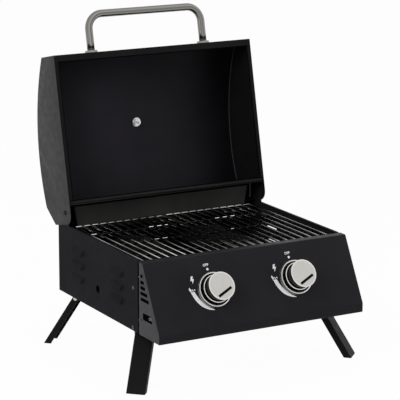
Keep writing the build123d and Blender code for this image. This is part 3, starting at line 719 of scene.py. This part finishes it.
class GRILL_OT_knobs(bpy.types.Operator):
    """Turn each knob and its ring: black body, plated cap with a black pointer, ring with rolled lips."""

    bl_idname = "grill.knobs"
    bl_label = "Knobs"

    # outlines of turned pieces as (radius, height above the panel), mm
    ring_skirt = (
        (43.4, 0.05), (44.4, 0.05), (44.1, 1.2), (42.1, 6.4), (41.4, 7.3), (40.8, 6.8), (43.4, 0.05),
    )
    ring_lip = (
        (41.5, 6.6), (41.5, 7.5), (40.4, 8.1), (38.6, 7.8), (37.3, 6.8), (37.2, 5.4), (41.2, 5.4),
        (41.5, 6.6),
    )
    ring_well = (
        (37.3, 6.4), (36.9, 2.6), (34.3, 2.6), (34.2, 13.6), (33.9, 13.6), (34.0, 2.0), (37.4, 2.0),
        (37.6, 6.4), (37.3, 6.4),
    )
    ring_bead = (
        (34.3, 12.6), (34.2, 14.7), (33.5, 15.6), (32.4, 16.0), (31.2, 15.6), (30.6, 14.7), (30.5, 12.6),
        (34.3, 12.6),
    )
    ring_floor = (
        (30.7, 13.4), (30.4, 1.2), (10.0, 1.2), (10.0, 0.05), (43.2, 0.05), (43.2, 0.8), (34.0, 0.8),
        (34.0, 13.4), (30.7, 13.4),
    )
    knob_body = (
        (0, 6.0), (6.5, 6.0), (6.5, 36.0), (27.2, 36), (27.2, 4.6), (28.8, 4.6), (31.4, 38.4), (0, 38.4)
    )
    cap_rim = (
        (0, 38.45), (32.2, 38.45), (33.4, 38.8), (34.0, 39.6), (34.0, 40.4), (33.5, 41.3), (32.4, 41.7),
        (31.2, 41.4), (30.2, 40.9), (30.0, 40.0), (0, 38.9),
    )
    ring_parts = (
        (ring_skirt, 0.3, 0), (ring_lip, 0.6, 1), (ring_well, 0.1, 2), (ring_bead, 0.5, 1),
        (ring_floor, 0.1, 2),
    )    # outline, how far its corners are softened, material slot
    face_radius, face_height, face_dish = 30.2, 40.9, 1.0
    pointer_turn = 25.5    # degrees
    pointer_size = (21, 3.2, 1.0)    # half length, half width, thickness
    pointer_place = (-2.3, -16.0, 39.9)    # along and across its own length from the knob's middle, and up

    def execute(self, context):
        chrome = polished_metal("knob_chrome", colours().chrome, 0.03)
        satin = brushed_metal("ring_satin", (0.30, 0.285, 0.265), 0.3)
        # a lighter copy of the chrome on the ring's lips and bead and the cap's rim: polished parts with a
        # painted highlight
        bright = polished_metal("ring_polished", (0.72, 0.71, 0.69), 0.05)
        black = moulded("knob_black", (0.003, 0.003, 0.003), 0.32, 0.15)
        ink = moulded("pointer_black", (0.002, 0.002, 0.002), 0.6, 0.05)
        dress(["valve_stem_left", "valve_stem_right"], brushed_metal("stem_steel", colours().steel))
        for side, centre in KNOB_CENTRE.items():
            knob = "knob_" + side
            parts = [(self.ring(centre, outline, soften), slot) for outline, soften, slot in self.ring_parts]
            ring = joined("knob_ring_" + side, parts)
            finish_piece(ring, [satin, bright, black], "body", ["knob_bezel_" + side])
            finish_piece(self.ring(centre, self.knob_body, 0.5), [black], knob, [knob])
            rim, face, pointer = self.ring(centre, self.cap_rim, 0.5), self.face(centre), self.pointer(centre)
            # the cap's rim takes the lighter chrome: painted highlight
            cap = joined("knob_cap_" + side, [(rim, 2), (face, 0), (pointer, 1)])
            finish_piece(cap, [chrome, ink, bright], knob, ["knob_cap_" + side])
        return {"FINISHED"}

    def ring(self, centre, outline, soften):
        """An outline in mm with softened corners, turned about the knob's axis."""
        return turned("ring", centre, KNOB_AXIS, ACROSS, rounded(outline, soften, 4) * MM, 96)

    def face(self, centre):
        """The cap's dished face: height = rim height - dish (1 - (radius / rim radius) ** 2)."""
        reach = np.linspace(self.face_radius, 0, 16)
        height = self.face_height - self.face_dish * (1 - (reach / self.face_radius) ** 2)
        return turned("face", centre, KNOB_AXIS, ACROSS, np.stack([reach, height], -1) * MM, 96)

    def pointer(self, centre):
        """The bar is a rounded oblong laid across the lower right of the cap."""
        turn = math.radians(self.pointer_turn)
        right = math.cos(turn) * ACROSS + math.sin(turn) * KNOB_UP
        up = math.cos(turn) * KNOB_UP - math.sin(turn) * ACROSS
        x, y, thick = self.pointer_size
        corner = rounded([(0, -y), (x, -y), (x, y), (-x, y), (-x, -y), (0, -y)], 0.7, 4)[:-1]
        along, across, height = self.pointer_place
        place = centre + KNOB_AXIS * height * MM + right * along * MM + up * across * MM
        return plate("pointer", corner * MM, place, right, up, thick * MM)


class GRILL_OT_lid(bpy.types.Operator):
    """Make the lid's dome, end caps, seams, painted shadow lines and rolled rear edge, and paint them and the
    pins.
    """

    bl_idname = "grill.lid"
    bl_label = "Lid"

    bloom_centre, bloom_reach = (-60 * MM, 170 * MM, 145 * MM), 330 * MM    # centre and reach of the pool of light painted on the dome's inside
    bloom_middle, bloom_edge = 2.1, 0.45
    rim_height = 0.1 * MM    # faces below this are the rim
    lip_height, lip_reach = 1.3 * MM, 31 * MM    # the rear lip lies below and behind these
    line_half = LID_END - 3.0 * MM    # half the length of the rolled edge
    joint_share = 0.965    # how much of it the rear and front painted shadow lines take
    # in from the walls, then up, then radius, all in mm
    roll, roll_radius = (SHEET + 4.2, 5.2), 4.7
    # the shadow lines are near-black tubes that stand for shade along the rims: painted shadow
    rear_joint, front_joint, joint_radius = (11.2, 5.6), (17.2, 2.6), 1.2
    end_joint, end_joint_radius = (14, 17, 11.0, 1.5), 1.3    # in from the rear, the front and the end, up
    seam_in, seam_under, seam_radius = 2.5, 2.4, 1.1    # in from the walls and under the dome's outside

    def execute(self, context):
        outside = baked_paint("lid_end_paint", colours().lid, gloss=0.15, rough=0.45, grain=0.3)
        # the inside, wall and rim paints are darker copies of the lid's paint, the inside one bluish: painted
        # shade inside the lid and on its rims
        inside = self.paint("lid_paint", (0.0105, 0.0096, 0.0120), 0.05, 0.35, 0.2, 0.35, patch=3.5)
        # a pool of light painted into the colour of the dome's inside: painted light, brightest at its centre
        bloom = lid_place(*self.bloom_centre)
        heat_bloomed(inside, bloom, self.bloom_reach, self.bloom_middle, self.bloom_edge)
        wall = self.paint("lid_wall_paint", (0.0080, 0.0078, 0.0080), 0.04, 0.45, grain=0.2)
        # the seam beads are real; their paint, lighter than the rest of the lid, is a painted highlight
        edge = self.paint("lid_seam_paint", (0.04, 0.04, 0.045), 0.15, 0.3)
        rolled = self.paint("lid_roll_paint", (0.009, 0.009, 0.0095), 0.1, 0.4)
        rim = self.paint("lid_rim_paint", (0.006, 0.006, 0.0065), 0.05, 0.4)
        # near-black paint of the shadow lines: painted shadow
        joint = self.paint("lid_joint_paint", (0.0015, 0.0015, 0.0015), 0.02, 0.6)
        shell = recut("lid_dome", "lid_shell", self.fold_away)
        # the shell's rim faces take the wall's painted shade
        give_slots(shell, lambda at: lid_measure(at)[1] < self.rim_height, 1)
        give_slots(shell, self.outer_side, 2)
        finish_piece(shell, [inside, wall, outside], "lid", ["lid_shell"])
        half = np.array([-1.0, 1.0]) * self.line_half
        short, along = half * self.joint_share, lid_direction(1.0, 0.0)
        inward, up = self.roll
        self.line("lid_roll", half, LID_HEEL + inward, up, along, rolled, self.roll_radius, segments=24)
        inward, up = self.rear_joint
        self.line("lid_joint_rear", short, LID_HEEL + inward, up, along, joint, self.joint_radius)
        inward, up = self.front_joint
        self.line("lid_joint_front", short, LID_LONG - inward, up, along, joint, self.joint_radius)
        s = np.linspace(LID_LONG - self.seam_in, LID_HEEL + self.seam_in, 40)
        h = DOME_CENTRE[1] + np.sqrt((DOME_R - self.seam_under) ** 2 - (s - DOME_CENTRE[0]) ** 2)
        rear, front, inward, up = self.end_joint
        foot = np.array([LID_HEEL + rear, LID_LONG - front])
        seam_out, foot_out = LID_END - self.seam_in * MM, LID_END - inward * MM
        for side, sign in (("left", -1), ("right", 1)):
            cap = recut("lid_end_" + side, "lid_cap_" + side, lambda points: points)
            # the caps' inner faces take the wall's painted shade and their rim faces the rim's
            give_slots(cap, lambda at: np.abs(at[:, 0]) < LID_END - 0.1 * MM, 1)
            give_slots(cap, lambda at: lid_measure(at)[1] < self.rim_height, 2)
            finish_piece(cap, [outside, wall, rim], "lid", ["lid_cap_" + side])
            self.line("lid_seam_" + side, sign * seam_out, s, h, ACROSS, edge, self.seam_radius)
            self.line("lid_joint_" + side, sign * foot_out, foot, up, ACROSS, joint, self.end_joint_radius)
        dress(["lid_pivot_pins"], baked_paint("pin_paint", (0.008, 0.008, 0.008), gloss=0.1, rough=0.5))
        return {"FINISHED"}

    def paint(self, name, colour, gloss, rough, grain=0.1, mottle=0.2, patch=9.0):
        """Baked paint, smoother and more mottled than the body's."""
        return baked_paint(name, colour, gloss, rough, grain, mottle, patch)

    def line(self, name, across, forward, up, normal, paint, radius, segments=12):
        """A painted bead or painted shadow line along the lid; across is in metres, forward, up and radius in
        mm.
        """
        path = lid_place(across, np.asarray(forward) * MM, np.asarray(up) * MM)
        finish_piece(swept(name, path, radius * MM, normal, segments), [paint], "lid")

    def outer_side(self, at):
        """Faces nearer to the outside of the dome, the front wall or the rear wall than to their insides."""
        s, h = lid_measure(at)
        half = SHEET / 2 * MM
        dome = np.hypot(s - DOME_CENTRE[0] * MM, h - DOME_CENTRE[1] * MM) > DOME_R * MM - half
        return dome | (s > LID_LONG * MM - half) | (s < LID_HEEL * MM + half)

    def fold_away(self, points):
        """The rear lip gives way to the rolled edge: its points go back to the wall."""
        s, h = lid_measure(points)
        wall = (LID_HEEL + SHEET) * MM
        lip = (h < self.lip_height) & (s > wall + 0.05 * MM) & (s < self.lip_reach)
        return points - (np.where(lip, s - wall, 0.0))[:, None] * lid_direction(1.0, 0.0)


class GRILL_OT_handle(bpy.types.Operator):
    """Bend the lid's handle from one stainless tube, with a collar at each end."""

    bl_idname = "grill.handle"
    bl_label = "Handle"

    reach, half, height = 96 * MM, 160 * MM, 34 * MM    # out from the wall, half its width, up from the rim
    clearance = 0.3 * MM    # between the tube's ends and the lid's front wall

    def execute(self, context):
        steel = brushed_metal("handle_steel", colours().steel, 0.14, (0.004, 1, 1), 0.04, lay=True)
        half, bend = self.half, sizes().bend
        wall = LID_LONG * MM
        far = wall + self.reach
        quarter = np.linspace(0, math.pi / 2, 13)
        bend_x = -half + bend - bend * np.cos(quarter)
        bend_s = far - bend + bend * np.sin(quarter)
        straight = np.linspace(-half + bend, half - bend, 9)[1:-1]
        leg = np.array([wall + self.clearance, wall + self.reach * 0.3])
        x = np.concatenate([[-half, -half], bend_x, straight, -bend_x[::-1], [half, half]])
        s = np.concatenate([leg, bend_s, np.full(len(straight), far), bend_s[::-1], leg[::-1]])
        path = lid_place(x, s, self.height)
        tube = swept("handle_tube", path, sizes().handle, lid_direction(0.0, 1.0), 40)
        finish_piece(tube, [steel], "lid", ["lid_handle"])
        dress(["handle_collars"], polished_metal("collar_chrome", colours().steel, 0.16))
        return {"FINISHED"}


class GRILL_OT_gauge(bpy.types.Operator):
    """Finish the lid's temperature gauge: rim, dial with ticks and numbers, needle, glass, nut and stem."""

    bl_idname = "grill.gauge"
    bl_label = "Gauge"

    start, sweep = 225.0, 270.0    # the needle's first direction and its turn, degrees
    first, steps, ticks = 50, 6, 4    # the first number, also the step; steps to the last; ticks to a step
    tick_end = 23.4    # outer end of every tick, mm
    long_tick, short_tick = (19.8, 0.35), (21.4, 0.2)    # inner end and half width, mm
    number_radius, number_height = 15.6, 2.9    # mm
    ink_lift = 0.12 * MM

    def execute(self, context):
        dress(["thermometer_case"], polished_metal("gauge_rim", (0.6, 0.6, 0.6), 0.12))
        dress(["thermometer_dial"], moulded("gauge_face", (0.75, 0.75, 0.74), 0.5))
        dress(["thermometer_needle"], moulded("gauge_red", (0.45, 0.02, 0.015), 0.4))
        ink = moulded("gauge_ink", (0.012, 0.012, 0.013), 0.5)
        finish_piece(joined("gauge_marks", [(part, 0) for part in self.marks()]), [ink], "lid")
        dress(["thermometer_lens"], clear_glass("gauge_glass"))
        steel = brushed_metal("gauge_steel", (0.62, 0.62, 0.62), 0.22)
        dress(["thermometer_nut", "thermometer_probe"], steel)
        return {"FINISHED"}

    def marks(self):
        """Ticks and numbers over the needle's sweep, on the dial's face: tick k of n lies at the direction
        start - k / n x sweep."""
        level = corner_points("thermometer_dial") @ DIAL_AXIS
        face = DIAL_CENTRE + (level.max() - DIAL_CENTRE @ DIAL_AXIS + 0.03 * MM) * DIAL_AXIS
        upward = np.cross(DIAL_AXIS, ACROSS)
        last = self.steps * self.ticks
        parts = []
        for k in range(last + 1):
            turn = math.radians(self.start - self.sweep * k / last)
            out = math.cos(turn) * ACROSS + math.sin(turn) * upward
            numbered = k % self.ticks == 0
            inner, half = self.long_tick if numbered else self.short_tick
            tick = [(-half, inner), (half, inner), (half, self.tick_end), (-half, self.tick_end)]
            across = np.cross(out, DIAL_AXIS)
            parts.append(plate("tick", np.array(tick) * MM, face, across, out, self.ink_lift))
            if numbered:
                text = str(self.first + k // self.ticks * self.first)
                place = face + out * self.number_radius * MM
                height = self.number_height * MM
                parts.append(lettering("number", text, height, place, ACROSS, upward, self.ink_lift))
        return parts


class GRILL_OT_grates(bpy.types.Operator):
    """Draw the two wire grates as round rods with softly rounded ends."""

    bl_idname = "grill.grates"
    bl_label = "Grates"

    frame_bar = 2.9 * MM    # radius of the front and rear rods
    first, step, count = 3.5, 22.7, 12    # the bars, from the middle outward, mm
    cross = np.array([-128.0, -15.0, 98.0])    # the rods under the bars, behind the middle of the feet, mm
    bar_end, sink = 0.2 * MM, 1.2 * MM    # the left grate's bars, in from its rear edge; its rear rod, down

    def execute(self, context):
        finish = grate_rod("grate_steel", (0.66, 0.65, 0.63), (0.15, 0.145, 0.14))
        # a near-black copy of the grate steel for the rods under the bars: painted shade
        burnt = grate_rod("grate_burnt", (0.03, 0.03, 0.03), (0.012, 0.012, 0.012))
        thin, thick = sizes().bar, self.frame_bar
        cross = self.cross * MM + FEET_BACK
        for side, sign in (("left", -1), ("right", 1)):
            low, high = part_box("cooking_grate_" + side)
            x = sign * (self.first + self.step * np.arange(self.count)) * MM
            ends = np.array([low[1], high[1]]) + np.array([thick, -thick])
            # the left grate's bars run over its rear rod, the right one's stop against it
            reach, sink = (high[1] - self.bar_end, self.sink) if side == "left" else (ends[1], 0.0)
            level = high[2] - thick
            bars = self.lines(x, x, ends[0], reach, level)
            under = self.lines(low[0], high[0], cross, cross, low[2] + thin)
            rims = self.lines(low[0], high[0], ends, ends, level - np.array([0.0, sink]))
            # the rods under the bars take the painted shade
            rod_sets = (("bars", bars, thin, 0), ("under", under, thin, 1), ("rims", rims, thick, 0))
            parts = [(rods(name, *line, radius), slot) for name, line, radius, slot in rod_sets]
            grate = joined("grate_" + side, parts)
            finish_piece(grate, [finish, burnt], "grate_" + side, ["cooking_grate_" + side])
        return {"FINISHED"}

    def lines(self, x0, x1, y0, y1, z):
        """Start and end points of straight rods at one height each."""
        start = np.stack(np.broadcast_arrays(x0, y0, z), -1).reshape(-1, 3)
        end = np.stack(np.broadcast_arrays(x1, y1, z), -1).reshape(-1, 3)
        count = max(len(start), len(end))
        return np.broadcast_to(start, (count, 3)), np.broadcast_to(end, (count, 3))


class GRILL_OT_gas(bpy.types.Operator):
    """Finish the gas train: inlet, manifold, valves, burners and igniters."""

    bl_idname = "grill.gas"
    bl_label = "Gas parts"

    def execute(self, context):
        brass = brushed_metal("valve_brass", (0.52, 0.37, 0.15), 0.3)
        fitting = brushed_metal("inlet_steel", (0.16, 0.155, 0.15), 0.3)
        alloy = brushed_metal("valve_alloy", (0.45, 0.45, 0.46), 0.4)
        burner = brushed_metal("burner_steel", (0.38, 0.35, 0.32), 0.35, (1, 0.05, 1))
        ceramic = moulded("electrode_ceramic", (0.16, 0.15, 0.13), 0.3)
        dress(["gas_inlet"], fitting)
        dress(["valve_plug_left", "valve_plug_right"], brass)
        dress(["manifold_pipe", "valve_body_left", "valve_body_right"], alloy)
        dress(["burner_left", "burner_right"], burner)
        dress(["igniter_left", "igniter_right"], ceramic)
        return {"FINISHED"}


class GRILL_OT_legs(bpy.types.Operator):
    """Paint the folding legs, their brackets and pins."""

    bl_idname = "grill.legs"
    bl_label = "Legs"

    def execute(self, context):
        paint = baked_paint("leg_paint", (0.0085, 0.0085, 0.0090), gloss=0.05, rough=0.45)
        corners = ["front_left", "front_right", "rear_left", "rear_right"]
        dress(["leg_" + corner for corner in corners], paint)
        dress(["leg_bracket_" + corner for corner in corners], paint)
        dress(["leg_pins"], brushed_metal("rivet_steel", (0.5, 0.5, 0.5)))
        return {"FINISHED"}


class GRILL_OT_tray(bpy.types.Operator):
    """Finish the drip tray and its rails in galvanised steel."""

    bl_idname = "grill.tray"
    bl_label = "Drip tray"

    def execute(self, context):
        zinc = brushed_metal("galvanised_steel", (0.45, 0.46, 0.47), 0.42)
        dress(["drip_tray", "tray_rails"], zinc)
        return {"FINISHED"}


class GRILL_OT_stage(bpy.types.Operator):
    """Set the floor, the lamps, the pale surroundings and the camera."""

    bl_idname = "grill.stage"
    bl_label = "Studio"

    seeing = ("Is Camera Ray", "Is Glossy Ray", "Is Transmission Ray")    # rays that meet plain white
    ambient = 0.35    # strength of the light from all round
    floor_glow = 0.97    # how far the floor is its own white, the rest being lit and shadowed
    floor_half = 14.0
    floor_height = -0.5 * MM
    lamps = (
        ("key", (-2.6, -1.3, 2.2), (0, 0, 0.3), 1.6, 60),
        ("fill", (1.9, -1.6, 0.5), (0.1, 0, 0.25), 0.9, 12),
        ("top", (0.2, 0.1, 3.0), (0, 0, 0.3), 2.0, 40),
    )    # name, place, target, size in metres, power in watts
    camera_lens, camera_sensor = 182.08, 36.0    # mm
    camera_place = (-2.3786, -4.2175 + FEET_BACK, 1.5359)
    camera_yaw, camera_pitch, camera_roll = 29.46, 13.42, 0.14    # right, down, right side up; degrees

    def execute(self, context):
        scene = context.scene
        scene.view_settings.view_transform = "Standard"
        self.floor()
        self.room(scene)
        for lamp in self.lamps:
            self.lamp(scene, *lamp)
        self.camera(scene)
        return {"FINISHED"}

    def floor(self):
        """A plain pale floor: its own white to the rays that see it, mixed with a little of its lit face."""
        side, level = self.floor_half, self.floor_height
        corners = [(-side, -side, level), (side, -side, level), (side, side, level), (-side, side, level)]
        ground = put_mesh("floor", corners, [[(0, 1, 2, 3)]], smooth=False)
        material, tree, shader = new_material("floor_white")
        shader.inputs["Roughness"].default_value = 0.6
        coloured(tree, shader, noise(tree, 2.0, 3.0), (0.62, 0.62, 0.62), (0.66, 0.66, 0.66))
        glow = tree.nodes.new("ShaderNodeEmission")
        seen = span(tree, ray_kind(tree, *self.seeing), 0.0, self.floor_glow)
        surface = mixed(tree, seen, shader.outputs["BSDF"], glow.outputs["Emission"])
        tree.links.new(surface, tree.nodes["Material Output"].inputs["Surface"])
        ground.data.materials.append(material)

    def room(self, scene):
        """White behind everything, in mirrors and through glass; softer light from all round on the rest."""
        world = bpy.data.worlds.new("studio")
        world.use_nodes = True
        world.cycles.sampling_method = "NONE"    # because its strength depends on the kind of ray
        scene.world = world
        tree = world.node_tree
        soft = tree.nodes["Background"]
        soft.inputs["Color"].default_value = (1, 1, 1, 1)
        soft.inputs["Strength"].default_value = self.ambient
        white = tree.nodes.new("ShaderNodeBackground")
        white.inputs["Color"].default_value = (1, 1, 1, 1)
        seen = ray_kind(tree, *self.seeing)
        surface = mixed(tree, seen, soft.outputs["Background"], white.outputs["Background"])
        tree.links.new(surface, tree.nodes["World Output"].inputs["Surface"])

    def lamp(self, scene, name, place, target, size, power):
        """A square soft lamp that faces the target and leaves no bright square in polished metal."""
        light = bpy.data.lights.new(name, "AREA")
        light.shape = "SQUARE"
        light.size = size
        light.energy = power
        holder = bpy.data.objects.new(name, light)
        scene.collection.objects.link(holder)
        aim = Vector(target) - Vector(place)
        holder.visible_glossy = False
        holder.location = place
        holder.rotation_euler = aim.to_track_quat("-Z", "Y").to_euler()

    def camera(self, scene):
        """A long lens, turned right by the yaw, tipped down by the pitch and rolled about its own line."""
        camera = bpy.data.cameras.new("camera")
        camera.lens = self.camera_lens
        camera.sensor_width = self.camera_sensor
        camera.clip_start, camera.clip_end = 0.1, 100
        holder = bpy.data.objects.new("camera", camera)
        scene.collection.objects.link(holder)
        yaw, pitch = math.radians(self.camera_yaw), math.radians(self.camera_pitch)
        roll = math.radians(self.camera_roll)
        forward = Vector((math.sin(yaw) * math.cos(pitch), math.cos(yaw) * math.cos(pitch), -math.sin(pitch)))
        right = Vector((math.cos(yaw), -math.sin(yaw), 0))
        up = right.cross(forward)
        rolled_right = right * math.cos(roll) + up * math.sin(roll)
        rolled_up = up * math.cos(roll) - right * math.sin(roll)
        turn = Matrix((rolled_right, rolled_up, -forward)).transposed().to_4x4()
        holder.matrix_world = Matrix.Translation(self.camera_place) @ turn
        scene.camera = holder


STEPS = (
    GRILL_OT_body,
    GRILL_OT_marks,
    GRILL_OT_knobs,
    GRILL_OT_lid,
    GRILL_OT_handle,
    GRILL_OT_gauge,
    GRILL_OT_grates,
    GRILL_OT_gas,
    GRILL_OT_legs,
    GRILL_OT_tray,
    GRILL_OT_stage,
)


class GRILL_PT_panel(bpy.types.Panel):
    """Lists the grill's pieces and settings."""

    bl_idname = "GRILL_PT_panel"
    bl_label = "Portable grill"
    bl_space_type = "VIEW_3D"
    bl_region_type = "UI"
    bl_category = "Grill"

    def draw(self, context):
        for settings in (context.scene.grill_colours, context.scene.grill_sizes):
            for name in settings.__annotations__:
                self.layout.prop(settings, name)
        for step in STEPS:
            self.layout.operator(step.bl_idname)


CLASSES = (GrillColours, GrillSizes, *STEPS, GRILL_PT_panel)


def register():
    """Add the settings, the operators and the panel to Blender."""
    for item in CLASSES:
        bpy.utils.register_class(item)
    bpy.types.Scene.grill_colours = bpy.props.PointerProperty(type=GrillColours)
    bpy.types.Scene.grill_sizes = bpy.props.PointerProperty(type=GrillSizes)


def unregister():
    """Take them out again."""
    del bpy.types.Scene.grill_sizes
    del bpy.types.Scene.grill_colours
    for item in reversed(CLASSES):
        bpy.utils.unregister_class(item)


def main():
    """Build every piece and the studio."""
    register()
    for step in STEPS:
        group, name = step.bl_idname.split(".")
        getattr(getattr(bpy.ops, group), name)()
    bpy.context.view_layer.update()


if __name__ == "__main__":
    main()
